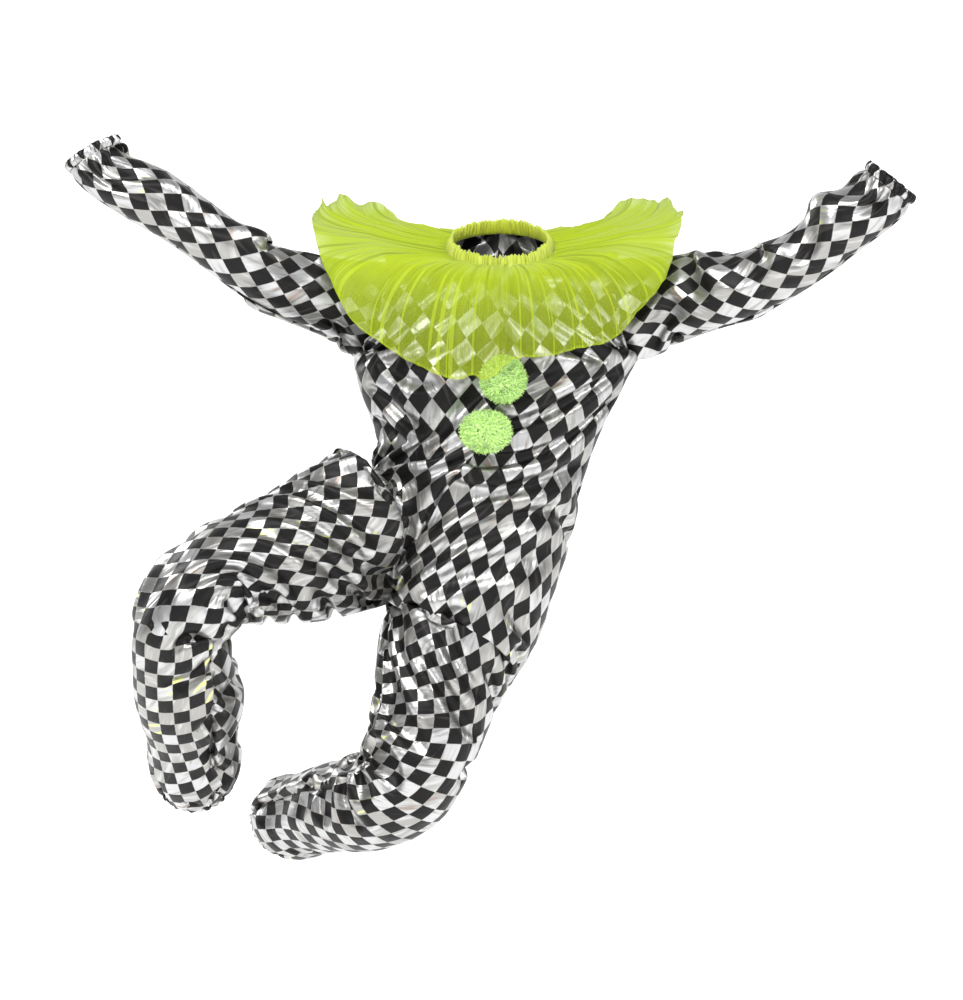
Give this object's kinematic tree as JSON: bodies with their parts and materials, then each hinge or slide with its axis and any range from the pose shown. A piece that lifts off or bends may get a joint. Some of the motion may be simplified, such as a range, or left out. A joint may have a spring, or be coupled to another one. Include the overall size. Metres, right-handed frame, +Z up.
{
  "type": "clown jumpsuit",
  "caption": "One-piece harlequin clown jumpsuit with elastic cuffs and ankles, a gathered organza ruff on a ruched neckband and fluffy pompoms down the front.",
  "frame": {"origin": "centre of the neck opening, where the garment is held", "axes": "+Z up the body, out of the neck; -Y is the front; +X is the viewer's right"},
  "size_m": [1.3087, 0.5486, 1.1557],
  "materials": {
    "harlequin_knit": "knit with a printed check of black and crinkled silver foil diamonds",
    "ruff_organza": "translucent yellow-green organza, gathered",
    "neon_ruching": "bright yellow-green ruched fabric",
    "pompom_yarn": "fluffy light green yarn"
  },
  "bodies": {
    "root": {"front_left": "harlequin_knit", "front_right": "harlequin_knit", "back_left": "harlequin_knit", "back_right": "harlequin_knit", "sleeve_left": "harlequin_knit", "sleeve_right": "harlequin_knit", "wrist_casing_left": "harlequin_knit", "wrist_casing_right": "harlequin_knit", "ankle_casing_left": "harlequin_knit", "ankle_casing_right": "harlequin_knit", "back_placket": "harlequin_knit", "ruff": "ruff_organza", "neckband": "neon_ruching", "pompom_upper": "pompom_yarn", "pompom_lower": "pompom_yarn"}
  },
  "joints": []
}
